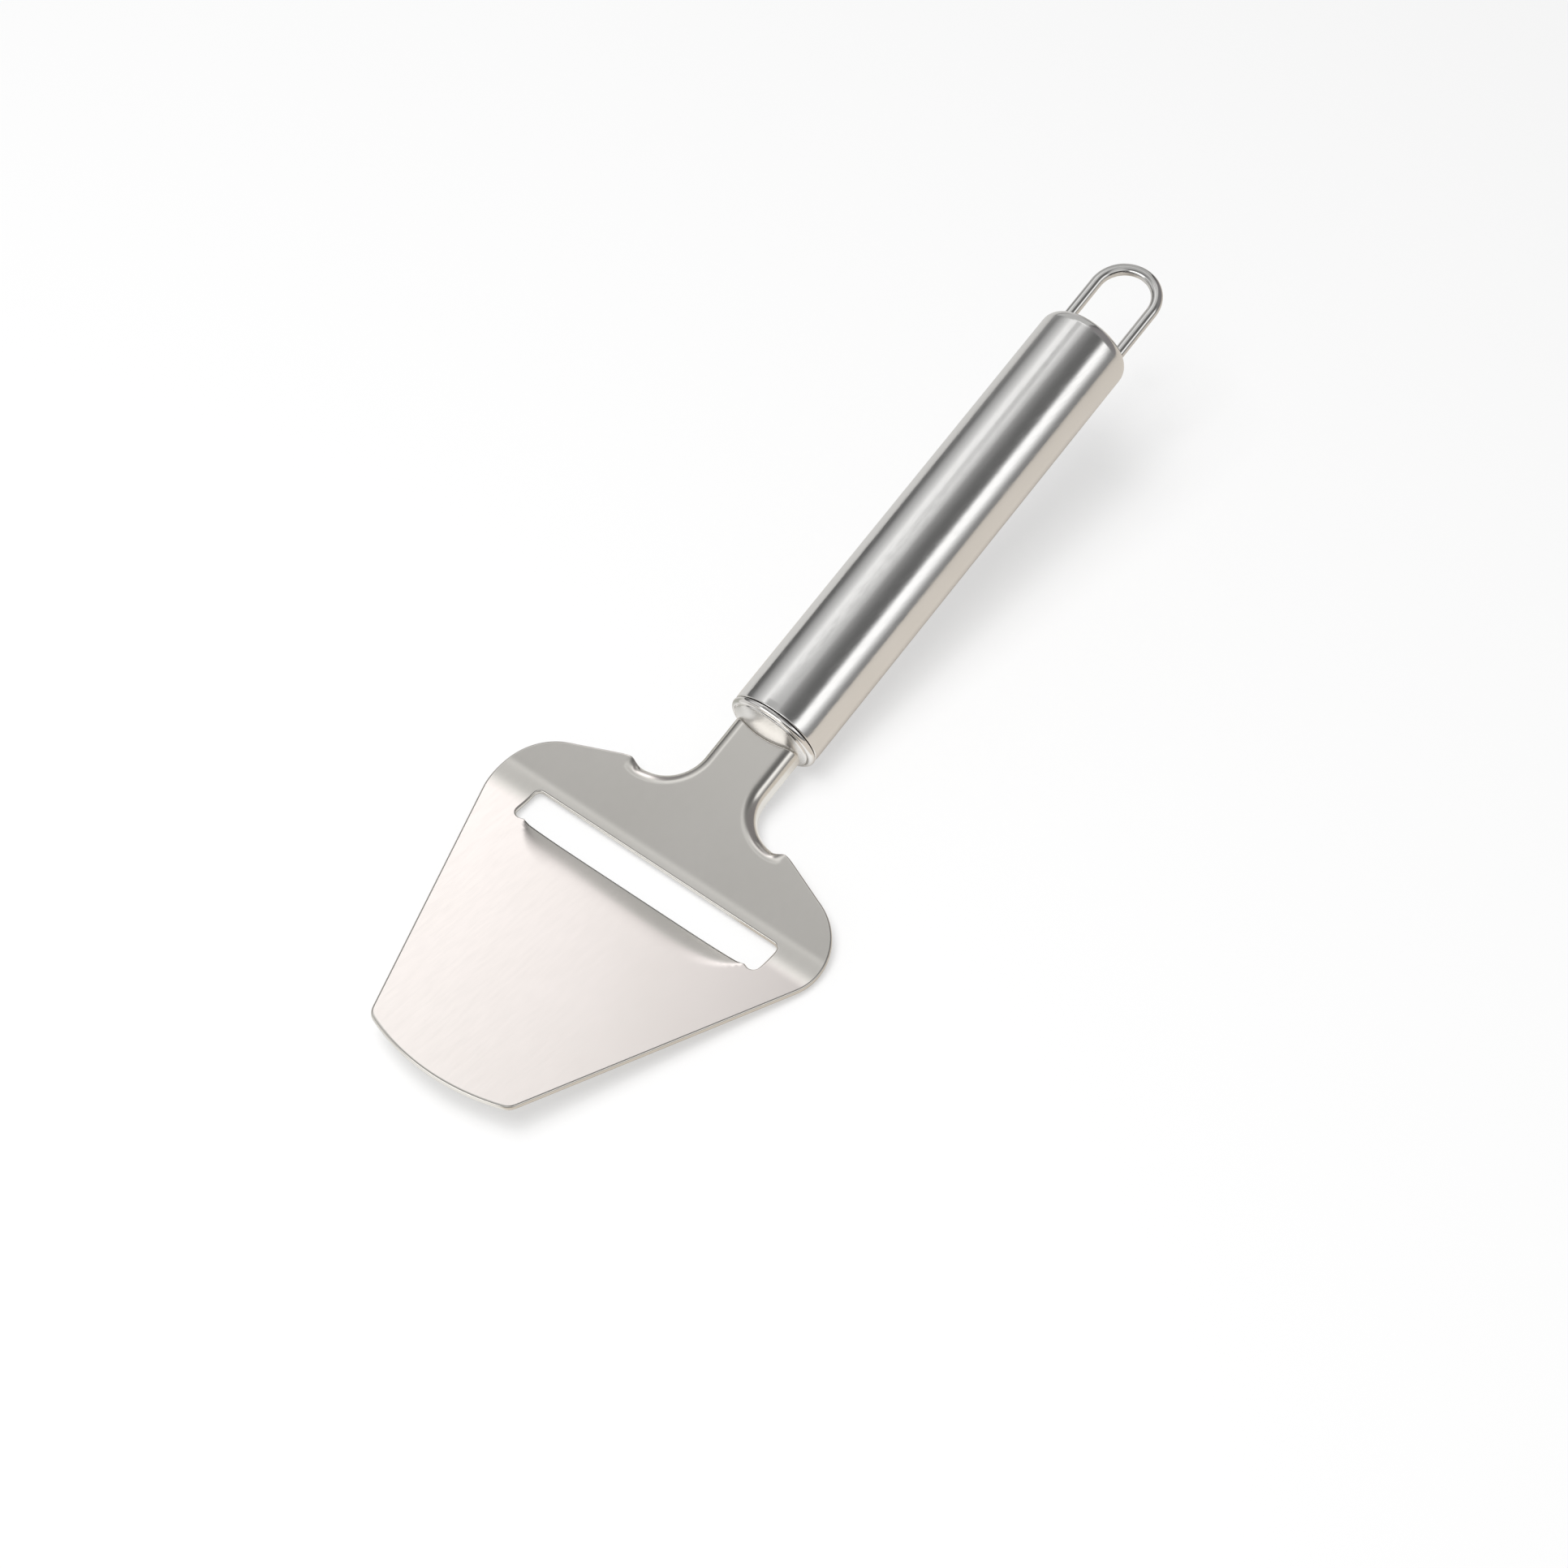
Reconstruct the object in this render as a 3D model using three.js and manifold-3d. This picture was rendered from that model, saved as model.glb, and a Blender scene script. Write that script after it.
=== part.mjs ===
import * as THREE from 'three';
import Module from 'manifold-3d';
import { mergeVertices } from 'three/addons/utils/BufferGeometryUtils.js';

// Stainless steel cheese slicer: one bent sheet blade with a cutting slot, welded to the cap of a hollow
// round handle. The handle is drawn from one cup, closed at its rear, and carries a wire hanging loop.
// Everything is drawn about the handle: its axis is Y, y = 0 is the seam of tube and front cap,
// the loop is at +Y. The last lines lay the tool on the table the way it rests.

// Sheet and bends
const sheet = 1.2;
const tongueRise = 22.4 * Math.PI / 180;
const bendY = -36.1;
const bendRadius = 26.2;
const plateZ = 2.7;

// Blade outline in plan
const tipY = -94.1;
const tipRadius = 41.4;
const tipCorner = 2.6;
const bladeHalf = 37;
const shoulderRadius = 12.6;
const shoulderY = -35.7;
const sideTaper = 0.404;
const rearTaper = 2.958;
const neckHalf = 7.1;
const filletRadius = 8.1;
const filletX = neckHalf + filletRadius;
const filletY = -11.9;
const kinkX = 17.9;
const neckEndY = -0.5;

// Flanges of the neck
const rollRadius = 2.8;
const flangeFoot = -2.3;
const rollStart = 3;
const rollLead = 0.35;
const rollSeam = 0.15;
const rollSteps = 10;
const rollTurns = 16;

// Slot and cutting lip
const slotHalf = 27.8;
const slotRearY = -34.8;
const slotRearCorner = 1.0;
const lipY = -41.35;
const lipHalf = 25.4;
const lipRelief = 1.3;
const lipSag = 1.1;
const lipDepth = 8.5;

// Handle, cap and loop
const tubeRadius = 9.35;
const tubeWall = 0.6;
const tubeRear = 97.6;
const gap = 0.3;
const capWall = 0.7;
const capSpigot = 4;
const frontShoulder = 1.9;
const frontCrown = 1.3;
const rearShoulder = 3;
const rearCrown = 0.5;
const wireRadius = 1.15;
const loopRadius = 6.4;
const loopCentreY = 111.8;
const loopRootY = 97.6;
const roundSteps = 48;

const wasm = await Module();
wasm.setup();

function solid(geometry) {
  let g = geometry.clone();
  g.deleteAttribute('normal');
  g.deleteAttribute('uv');
  g = mergeVertices(g, 1e-4);
  return new wasm.Manifold(new wasm.Mesh({
    numProp: 3,
    vertProperties: new Float32Array(g.attributes.position.array),
    triVerts: new Uint32Array(g.index.array),
  }));
}

function geometryOf(body) {
  const m = body.getMesh();
  const g = new THREE.BufferGeometry();
  g.setAttribute('position', new THREE.BufferAttribute(new Float32Array(m.vertProperties), 3));
  g.setIndex(new THREE.BufferAttribute(new Uint32Array(m.triVerts), 1));
  return g;
}

// A flat shape in plan (x, y) stood up between two heights.
function planPrism(shape, low, high, curveSegments = 12) {
  const g = new THREE.ExtrudeGeometry(shape, { depth: high - low, bevelEnabled: false, curveSegments });
  g.translate(0, 0, low);
  return solid(g);
}

// A side profile (y, z) drawn out across the blade, from x = -half to x = +half.
function sidePrism(shape, half, curveSegments = 10) {
  const g = new THREE.ExtrudeGeometry(shape, { depth: 2 * half, bevelEnabled: false, curveSegments });
  g.applyMatrix4(new THREE.Matrix4().makeBasis(
    new THREE.Vector3(0, 1, 0), new THREE.Vector3(0, 0, 1), new THREE.Vector3(1, 0, 0)));
  g.translate(-half, 0, 0);
  return solid(g);
}

// Flat of the blade: tip arc, straight sides, round shoulders, slanted rear edges, and the neck up to where
// its edges start to roll.
const shoulderX = bladeHalf - shoulderRadius;
const sideLength = Math.hypot(1, sideTaper);
const sideTouch = [shoulderX + shoulderRadius / sideLength, shoulderY - shoulderRadius * sideTaper / sideLength];
const rearLength = Math.hypot(1, rearTaper);
const rearTouch = [shoulderX + shoulderRadius / rearLength, shoulderY + shoulderRadius * rearTaper / rearLength];
const kinkY = filletY - Math.sqrt(filletRadius ** 2 - (kinkX - filletX) ** 2);
const tipCentreY = tipY + tipRadius;
// Small circle that rounds the corner between tip arc and side, touching both.
const sideLineX = (y) => sideTouch[0] + sideTaper * (y - sideTouch[1]);
const cornerReach = tipRadius - tipCorner;
let cornerAngle = -Math.PI / 2;
for (let step = 0; step < 60; step += 1) {
  const cx = cornerReach * Math.cos(cornerAngle);
  const cy = tipCentreY + cornerReach * Math.sin(cornerAngle);
  const off = (sideLineX(cy) - cx) / sideLength - tipCorner;
  cornerAngle += off / tipRadius;
}
const cornerX = cornerReach * Math.cos(cornerAngle);
const cornerY = tipCentreY + cornerReach * Math.sin(cornerAngle);
const sideAngle = -Math.atan(sideTaper);
const rearAngle = Math.atan(rearTaper);
const kinkAngle = Math.atan2(kinkY - filletY, kinkX - filletX);
// Where the rolled edges start: the neck's flat half width, and the radius about the fillet's centre.
const neckFlat = neckHalf - rollRadius;
const rollLine = filletRadius + rollRadius;

function bladeOutline() {
  const s = new THREE.Shape();
  s.moveTo(neckFlat, neckEndY);
  s.lineTo(-neckFlat, neckEndY);
  s.lineTo(-neckFlat, filletY);
  s.absarc(-filletX, filletY, rollLine, 0, -Math.PI - kinkAngle, true);
  s.lineTo(-kinkX, kinkY);
  s.lineTo(-rearTouch[0], rearTouch[1]);
  s.absarc(-shoulderX, shoulderY, shoulderRadius, Math.PI - rearAngle, Math.PI - sideAngle, false);
  s.absarc(-cornerX, cornerY, tipCorner, Math.PI - sideAngle, Math.PI - cornerAngle, false);
  s.absarc(0, tipCentreY, tipRadius, Math.PI - cornerAngle, 2 * Math.PI + cornerAngle, false);
  s.absarc(cornerX, cornerY, tipCorner, cornerAngle, sideAngle, false);
  s.absarc(shoulderX, shoulderY, shoulderRadius, sideAngle, rearAngle, false);
  s.lineTo(kinkX, kinkY);
  s.absarc(filletX, filletY, rollLine, kinkAngle, -Math.PI, true);
  s.closePath();
  return s;
}

// Slot: square to the handle, with the lip standing proud of two round relief corners.
function slotOutline() {
  const s = new THREE.Shape();
  const c = slotHalf - lipRelief;
  const reliefY = lipY + lipRelief * 0.65;
  const meet = Math.asin((lipY - reliefY) / lipRelief);
  s.moveTo(slotHalf - slotRearCorner, slotRearY);
  s.lineTo(-slotHalf + slotRearCorner, slotRearY);
  s.absarc(-slotHalf + slotRearCorner, slotRearY - slotRearCorner, slotRearCorner, Math.PI / 2, Math.PI, false);
  s.absarc(-c, reliefY, lipRelief, Math.PI, 2 * Math.PI + meet, false);
  s.absarc(c, reliefY, lipRelief, Math.PI - meet, 2 * Math.PI, false);
  s.absarc(slotHalf - slotRearCorner, slotRearY - slotRearCorner, slotRearCorner, 0, Math.PI / 2, false);
  s.closePath();
  return s;
}

// Side profile of the sheet: tongue rising to the tip, soft bend, flat plate under the neck.
// The bend is tangent to both, and its length each side of the bend line follows from its radius.
const bendReach = (bendRadius - sheet) * Math.tan(tongueRise / 2);
const tongueZ = (y) => plateZ - Math.tan(tongueRise) * (y - bendY);
function sheetProfile() {
  const s = new THREE.Shape();
  const topRadius = bendRadius - sheet;
  const centreZ = plateZ + topRadius;
  const centreY = bendY + bendReach;
  const far = tipY - 8;
  const down = sheet / Math.cos(tongueRise);
  s.moveTo(far, tongueZ(far));
  s.lineTo(far, tongueZ(far) - down);
  s.absarc(centreY, centreZ, bendRadius, -Math.PI / 2 - tongueRise, -Math.PI / 2, false);
  s.lineTo(neckEndY + 6, plateZ - sheet);
  s.lineTo(neckEndY + 6, plateZ);
  s.absarc(centreY, centreZ, topRadius, -Math.PI / 2, -Math.PI / 2 - tongueRise, true);
  s.closePath();
  return s;
}

// Frame of the tongue: origin on its top face at the middle of the lip, U towards the tip, N out of it.
const lipZ = tongueZ(lipY);
const tongueU = new THREE.Vector3(0, -Math.cos(tongueRise), Math.sin(tongueRise));
const tongueN = new THREE.Vector3(0, Math.sin(tongueRise), Math.cos(tongueRise));

// The lip is a shallow trough pressed into the tongue: an arc across the blade that runs out along a
// slightly steeper line, so it fades into the tongue along a curved border.
const troughRadius = (lipHalf ** 2 + lipSag ** 2) / (2 * lipSag);
const troughHalfAngle = Math.asin(lipHalf / troughRadius);
const troughCentre = troughRadius - lipSag;
const troughSlope = Math.atan(lipSag / lipDepth);
const lowest = -Math.PI / 2;

// Cross section of the pressed lip, one sheet thick.
function lipSection() {
  const s = new THREE.Shape();
  s.moveTo(-lipHalf, 0);
  s.lineTo(-lipHalf, -sheet);
  s.absarc(0, troughCentre - sheet, troughRadius, lowest - troughHalfAngle, lowest + troughHalfAngle, false);
  s.lineTo(lipHalf, 0);
  s.absarc(0, troughCentre, troughRadius, lowest + troughHalfAngle, lowest - troughHalfAngle, true);
  s.closePath();
  return s;
}

// Cross section of the open space above the pressed lip.
function lipSpace() {
  const s = new THREE.Shape();
  s.moveTo(-lipHalf, lipDepth);
  s.lineTo(-lipHalf, 0);
  s.absarc(0, troughCentre, troughRadius, lowest - troughHalfAngle, lowest + troughHalfAngle, false);
  s.lineTo(lipHalf, lipDepth);
  s.closePath();
  return s;
}

function troughPrism(shape, back) {
  const g = new THREE.ExtrudeGeometry(shape, { depth: 2 * lipDepth, bevelEnabled: false, curveSegments: 14 });
  g.translate(0, 0, -back);
  const along = tongueU.clone().multiplyScalar(Math.cos(troughSlope))
    .add(tongueN.clone().multiplyScalar(Math.sin(troughSlope)));
  const up = new THREE.Vector3().crossVectors(along, new THREE.Vector3(1, 0, 0));
  g.applyMatrix4(new THREE.Matrix4().makeBasis(new THREE.Vector3(1, 0, 0), up, along));
  g.translate(0, lipY, lipZ);
  return solid(g);
}

// Everything below the tongue's top face, on the tip side of the lip edge.
function underTongue() {
  const s = new THREE.Shape();
  const far = lipY - 2 * lipDepth;
  s.moveTo(lipY, lipZ);
  s.lineTo(far, tongueZ(far));
  s.lineTo(far, -lipDepth);
  s.lineTo(lipY, -lipDepth);
  s.closePath();
  return sidePrism(s, bladeHalf);
}

// Rolled edge of the neck: the sheet leaves the flat along a fillet and the neck, turns down about the
// roll radius and runs straight to its foot. It starts as flat sheet at the kink of the outline.
const rollTurn = rollRadius * Math.PI / 2;
const rollFull = rollTurn + plateZ - rollRadius - flangeFoot;
const ease = (t) => t * t * (3 - 2 * t);

// Out and down travel of the sheet's top, a distance d past the start of the roll. Bent is 0 to 1.
function rollAt(d, bent) {
  const a = Math.min(Math.max(d / rollRadius, 0), Math.PI / 2);
  const out = d < 0 ? d : rollRadius * Math.sin(a);
  const down = rollRadius * (1 - Math.cos(a)) + Math.max(d - rollTurn, 0);
  return [d + (out - d) * bent, down * bent];
}

// Section of the rolled edge, there along its top and back along its underside. Its root is set into the
// edge of the flat, a little thinner than the sheet, so that the two become one body.
function rollSection(bent, width, sunk) {
  const top = [];
  const under = [];
  const stops = [-sheet];
  for (let i = 0; i <= rollSteps; i += 1) stops.push(rollLead + (width - rollLead) * i / rollSteps);
  const dip = sheet * 1e-3;
  for (const d of stops) {
    const [f, g] = rollAt(d, bent);
    const [f0, g0] = rollAt(d - dip, bent);
    const [f1, g1] = rollAt(d + dip, bent);
    const long = Math.hypot(f1 - f0, g1 - g0);
    const set = d < 0 ? rollSeam : sunk;
    top.push([f, plateZ - g - set]);
    under.push([f - sheet * (g1 - g0) / long, plateZ - g - sheet * (f1 - f0) / long + set]);
  }
  return [...top, ...under.reverse()];
}

function rolledEdge(side) {
  const stations = [];
  const put = (a, section) => stations.push(section.map(([f, z]) => [
    side * (filletX + (rollLine - f) * Math.cos(a)), filletY + (rollLine - f) * Math.sin(a), z]));
  put(kinkAngle + rollSeam, rollSection(0, rollRadius - sheet, rollSeam));
  for (let i = 0; i <= rollTurns; i += 1) {
    const t = (i + rollSeam) / (rollTurns + rollSeam);
    const a = kinkAngle - (Math.PI + kinkAngle) * t;
    const bent = ease(Math.min((kinkAngle - a) * filletRadius / rollStart, 1));
    put(a, rollSection(bent, rollRadius + (rollFull - rollRadius) * ease(t), 0));
  }
  stations.push(rollSection(1, rollFull, 0).map(([f, z]) => [side * (neckFlat + f), neckEndY, z]));
  const n = stations[0].length;
  const half = n / 2;
  const faces = [];
  const quad = (a, b, c, d) => faces.push(a, b, c, a, c, d);
  for (let i = 0; i + 1 < stations.length; i += 1) {
    for (let k = 0; k < n; k += 1) {
      const m = (k + 1) % n;
      quad(i * n + k, i * n + m, (i + 1) * n + m, (i + 1) * n + k);
    }
  }
  const last = (stations.length - 1) * n;
  for (let k = 0; k + 1 < half; k += 1) {
    quad(k, n - 1 - k, n - 2 - k, k + 1);
    quad(last + k + 1, last + n - 2 - k, last + n - 1 - k, last + k);
  }
  if (side < 0) faces.reverse();
  const g = new THREE.BufferGeometry();
  g.setAttribute('position', new THREE.BufferAttribute(new Float32Array(stations.flat(2)), 3));
  g.setAttribute('normal', new THREE.BufferAttribute(new Float32Array(stations.length * n * 3), 3));
  g.setIndex(faces);
  return solid(g);
}

// A closed profile (r, y) turned about the handle axis.
function turned(points) {
  const ring = points.map(([r, y]) => new THREE.Vector2(r, y));
  let area = 0;
  for (let i = 0; i < ring.length; i += 1) {
    const p = ring[i];
    const q = ring[(i + 1) % ring.length];
    area += p.x * q.y - q.x * p.y;
  }
  if (area < 0) ring.reverse();
  const closed = ring[0].x > 0 || ring[ring.length - 1].x > 0;
  if (closed) ring.push(ring[0].clone());
  return new THREE.LatheGeometry(ring, roundSteps);
}

// Closed end of the cap or the handle, from the pole to the side: a shallow crown, then a round shoulder.
const crownSteps = 4;
const shoulderSteps = 6;
function capEnd(radius, shoulder, crown) {
  const line = [];
  const face = radius - shoulder;
  for (let i = 0; i < crownSteps; i += 1) {
    const r = face * i / crownSteps;
    line.push([r, shoulder + crown * (1 - (r / face) ** 2)]);
  }
  for (let i = 0; i <= shoulderSteps; i += 1) {
    const a = Math.PI / 2 * (1 - i / shoulderSteps);
    line.push([face + shoulder * Math.cos(a), shoulder * Math.sin(a)]);
  }
  return line;
}

const spigot = tubeRadius - tubeWall - gap;
const inside = spigot - capWall;

// Front cap: a thin cup whose spigot plugs into the tube. y is measured from the tube's end, outwards.
function frontCap() {
  const outer = capEnd(tubeRadius, frontShoulder, frontCrown).map(([r, y]) => [r, y + gap]);
  const hollow = capEnd(inside, frontShoulder, frontCrown).map(([r, y]) => [r, y + gap - capWall]);
  const cup = [
    ...outer,
    [tubeRadius, gap / 2],
    [spigot, gap / 2],
    [spigot, -capSpigot],
    [inside, -capSpigot],
    ...hollow.reverse(),
  ];
  return turned(cup.map(([r, y]) => [r, -y]));
}

// Handle: a drawn cup, open at the front, closed at the rear by a round shoulder and a nearly flat end
// that the legs of the loop pass through.
function tube() {
  const outer = capEnd(tubeRadius, rearShoulder, rearCrown);
  const hollow = capEnd(tubeRadius - tubeWall, rearShoulder - tubeWall, rearCrown);
  const cup = solid(turned([
    ...outer.map(([r, y]) => [r, tubeRear + y]),
    [tubeRadius, gap / 2],
    [tubeRadius - tubeWall, gap / 2],
    ...hollow.reverse().map(([r, y]) => [r, tubeRear + y]),
  ]));
  const hole = new THREE.CylinderGeometry(wireRadius + gap, wireRadius + gap, 2 * rearShoulder, 20);
  hole.translate(0, tubeRear + rearShoulder, 0);
  const right = solid(hole.clone().translate(loopRadius, 0, 0));
  const left = solid(hole.clone().translate(-loopRadius, 0, 0));
  return geometryOf(cup.subtract(right).subtract(left));
}

// Middle line of the loop: a leg, half a turn, a leg.
class LoopLine extends THREE.Curve {
  getPoint(t, target = new THREE.Vector3()) {
    const leg = loopCentreY - loopRootY;
    const arc = Math.PI * loopRadius;
    const s = t * (2 * leg + arc);
    if (s <= leg) return target.set(-loopRadius, loopRootY + s, 0);
    if (s >= leg + arc) return target.set(loopRadius, loopCentreY - (s - leg - arc), 0);
    const a = Math.PI - (s - leg) / loopRadius;
    return target.set(loopRadius * Math.cos(a), loopCentreY + loopRadius * Math.sin(a), 0);
  }
}

function loop() {
  const round = new THREE.Shape();
  round.absarc(0, 0, wireRadius, 0, 2 * Math.PI, false);
  return new THREE.ExtrudeGeometry(round, {
    extrudePath: new LoopLine(), steps: 48, bevelEnabled: false, curveSegments: 12,
  });
}

function blade() {
  const reach = 3 * bladeHalf;
  const plan = planPrism(bladeOutline(), -reach, reach);
  const slot = planPrism(slotOutline(), -reach, reach);
  const capRoom = solid(turned([
    ...capEnd(tubeRadius + gap, frontShoulder, frontCrown).map(([r, y]) => [r, -y - 2 * gap]),
    [tubeRadius + gap, capSpigot],
    [0, capSpigot],
  ]));
  const lip = troughPrism(lipSection(), lipDepth / 2).intersect(underTongue());
  const body = sidePrism(sheetProfile(), bladeHalf + sheet)
    .intersect(plan)
    .subtract(slot)
    .subtract(troughPrism(lipSpace(), lipDepth / 2).intersect(underTongue()))
    .add(lip)
    .add(rolledEdge(1))
    .add(rolledEdge(-1))
    .subtract(capRoom);
  return geometryOf(body);
}

// The tool rests on the cutting lip and the lower edge of the front cap, so the handle's rear end
// stands clear of the table. Origin: middle of the tool's length, on the table.
const lipFootZ = lipZ - (lipSag + sheet) / Math.cos(tongueRise + troughSlope);
const footDrop = lipFootZ + tubeRadius - frontShoulder;
const footRun = -gap - lipY;
const restTilt = Math.atan(footDrop / footRun) + Math.asin(frontShoulder / Math.hypot(footDrop, footRun));
const lay = new THREE.Matrix4().makeRotationX(restTilt);

const pieces = [
  ['blade', blade(), 0xd9d6d2, 0.28],
  ['front_cap', frontCap(), 0xe0dfdd, 0.12],
  ['handle_tube', tube(), 0xc9c7c3, 0.32],
  ['hanging_loop', loop(), 0xdcdbd9, 0.1],
];

const group = new THREE.Group();
group.name = 'cheese_slicer';
const bounds = new THREE.Box3();
for (const [name, geometry, color, roughness] of pieces) {
  geometry.applyMatrix4(lay);
  geometry.computeBoundingBox();
  bounds.union(geometry.boundingBox);
  const material = new THREE.MeshStandardMaterial({ color, roughness, metalness: 1 });
  const mesh = new THREE.Mesh(geometry, material);
  mesh.name = name;
  group.add(mesh);
}
const seat = new THREE.Vector3(0, -(bounds.min.y + bounds.max.y) / 2, -bounds.min.z);
for (const mesh of group.children) mesh.geometry.translate(seat.x, seat.y, seat.z);

export default group;
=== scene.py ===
import bpy, bmesh, math
import numpy as np
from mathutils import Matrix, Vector
from mathutils.geometry import delaunay_2d_cdt


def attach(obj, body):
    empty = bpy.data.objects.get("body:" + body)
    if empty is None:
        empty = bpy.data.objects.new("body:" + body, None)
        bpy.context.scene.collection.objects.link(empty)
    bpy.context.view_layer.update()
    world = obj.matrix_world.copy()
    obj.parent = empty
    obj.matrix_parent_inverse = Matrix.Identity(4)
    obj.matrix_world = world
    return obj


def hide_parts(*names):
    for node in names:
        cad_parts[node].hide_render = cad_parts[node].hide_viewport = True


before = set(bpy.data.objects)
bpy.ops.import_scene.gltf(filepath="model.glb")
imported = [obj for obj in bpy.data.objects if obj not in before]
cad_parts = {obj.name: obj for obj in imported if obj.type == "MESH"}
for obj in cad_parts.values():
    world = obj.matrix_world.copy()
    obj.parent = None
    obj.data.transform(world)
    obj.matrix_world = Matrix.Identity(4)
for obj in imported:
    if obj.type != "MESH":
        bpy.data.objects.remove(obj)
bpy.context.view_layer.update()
scene = bpy.context.scene


# Camera: looks down on the tool from the blade end and from its right side, about 0.7 m away,
# so the handle runs up to the right of the square picture.
camera = bpy.data.objects.new("camera", bpy.data.cameras.new("camera"))
scene.collection.objects.link(camera)
camera.data.sensor_width = 36.0
camera.data.lens = 87.25
camera.location = (0.246388, -0.377032, 0.548390)
camera.rotation_euler = [math.radians(turn) for turn in (38.5149, -3.1690, 37.4087)]
scene.camera = camera


# Blade: one stamped and bent sheet of stainless steel, welded to the front cap. The tongue rises to the tip,
# a cross slot lies at the bend with a cutting lip pressed into the tongue, and the neck's edges are rolled
# down into flanges. Sizes are in mm, with Y along the handle's axis and y = 0 at the front cap's seam.
mm_per_m = 1000.0
sheet, edge_round = 1.2, 0.4
tongue_rise = math.radians(22.4)
bend_y, bend_radius, plate_z = -36.1, 20.0, 2.7
tip_y, tip_radius, tip_corner = -93.95, 41.4, 2.6
blade_half, shoulder_radius, shoulder_y = 37.0, 12.6, -35.7
side_taper, rear_taper = 0.404, 2.958
neck_half, fillet_radius, fillet_y, kink_x = 7.1, 8.1, -11.9, 17.9
roll_radius, roll_run_in, flange_foot = 2.8, 3.0, -2.3
slot_half, slot_rear_y, slot_corner = 27.8, -34.8, 1.0
lip_y, lip_half, lip_relief, relief_set_back = -41.35, 25.4, 1.3, 0.65
lip_sag, lip_depth, lip_evenness, lip_past = 1.1, 7.8, 6, 2.0
lip_bevel, lip_land, lip_run_out = 0.9, 0.12, 1.5
weld_gap = 0.35
cap_shoulder, cap_crown, tube_radius = 0.9, 2.3, 9.35
rest_tilt = math.radians(15.8297)
rest_shift = np.array([0.0, -8.5375, 9.1493])
tiny = 1e-6

fillet_x = neck_half + fillet_radius
kink_y = fillet_y - math.sqrt(fillet_radius ** 2 - (kink_x - fillet_x) ** 2)
kink_angle = math.atan2(kink_y - fillet_y, kink_x - fillet_x)
roll_x = neck_half - roll_radius
roll_reach = fillet_radius + roll_radius
roll_length = roll_radius * math.pi / 2
roll_full = roll_length + (plate_z - flange_foot) - roll_radius
flange_edge = roll_x + roll_full


def turn_down(vectors):
    """Directions in the handle's frame, turned to how the tool rests on the table."""
    v = np.asarray(vectors, float)
    c, s = math.cos(rest_tilt), math.sin(rest_tilt)
    return np.stack([v[:, 0], c * v[:, 1] - s * v[:, 2], s * v[:, 1] + c * v[:, 2]], 1)


def lay_down(points):
    """Points in the handle's frame in mm, laid on the table in metres."""
    return (turn_down(points) + rest_shift) / mm_per_m


def around(x, y, r, angle):
    """Points at a radius and angle about a centre."""
    return np.stack([x + r * np.cos(angle), y + r * np.sin(angle)], 1)


def arc(x, y, r, start, end, step=0.5):
    """Points along an arc, about a step apart."""
    n = max(3, int(abs(end - start) * r / step) + 1)
    return around(x, y, r, np.linspace(start, end, n))


def line(p, q, step=0.8):
    """Points along a straight line, about a step apart."""
    n = max(2, int(math.dist(p, q) / step) + 1)
    return np.linspace(p, q, n)


def ease(t):
    """Smooth run from 0 to 1."""
    t = np.clip(np.asarray(t, float), 0, 1)
    return t * t * (3 - 2 * t)


def cap_front(r):
    """Distance of the front cap's outside from the seam, at radius r."""
    face = tube_radius - cap_shoulder
    r = np.asarray(r, float)
    crown = cap_shoulder + cap_crown * (1 - (r / face) ** 2)
    side = np.sqrt(np.maximum(cap_shoulder ** 2 - np.maximum(r - face, 0) ** 2, 0))
    return np.where(r < face, crown, side)


def bent_height(y):
    """Height of the sheet's top along the tool: flat plate, bend, rising tongue."""
    bend_end = bend_y + bend_radius * math.tan(tongue_rise / 2)
    bend_start = bend_end - bend_radius * math.sin(tongue_rise)
    off = np.clip(y, bend_start, bend_end) - bend_end
    curved = plate_z + bend_radius - np.sqrt(np.maximum(bend_radius ** 2 - off ** 2, 0))
    tongue = plate_z - math.tan(tongue_rise) * (y - bend_y)
    return np.where(y < bend_start, tongue, np.where(y > bend_end, plate_z, curved))


def lip_drop(x, y):
    """How far the tongue is pressed down towards the cutting lip."""
    share = np.maximum(1 - np.abs(x / lip_half) ** lip_evenness, tiny)
    back = np.maximum((lip_y - y) / math.cos(tongue_rise), 0)
    press = lip_sag * share * np.maximum(1 - back / (lip_depth * share), 0) ** 2
    pressed = (np.abs(x) < lip_half) & (y < lip_y + lip_past)
    return np.where(pressed, press, 0) / math.cos(tongue_rise)


def rolled(d):
    """Out and down travel of the sheet after a developed distance d past the start of the roll."""
    a = np.clip(d / roll_radius, 0, math.pi / 2)
    out = np.where(d < 0, d, roll_radius * np.sin(a))
    down = np.where(d < 0, 0, roll_radius * (1 - np.cos(a)) + np.maximum(d - roll_length, 0))
    return out, down


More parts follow.
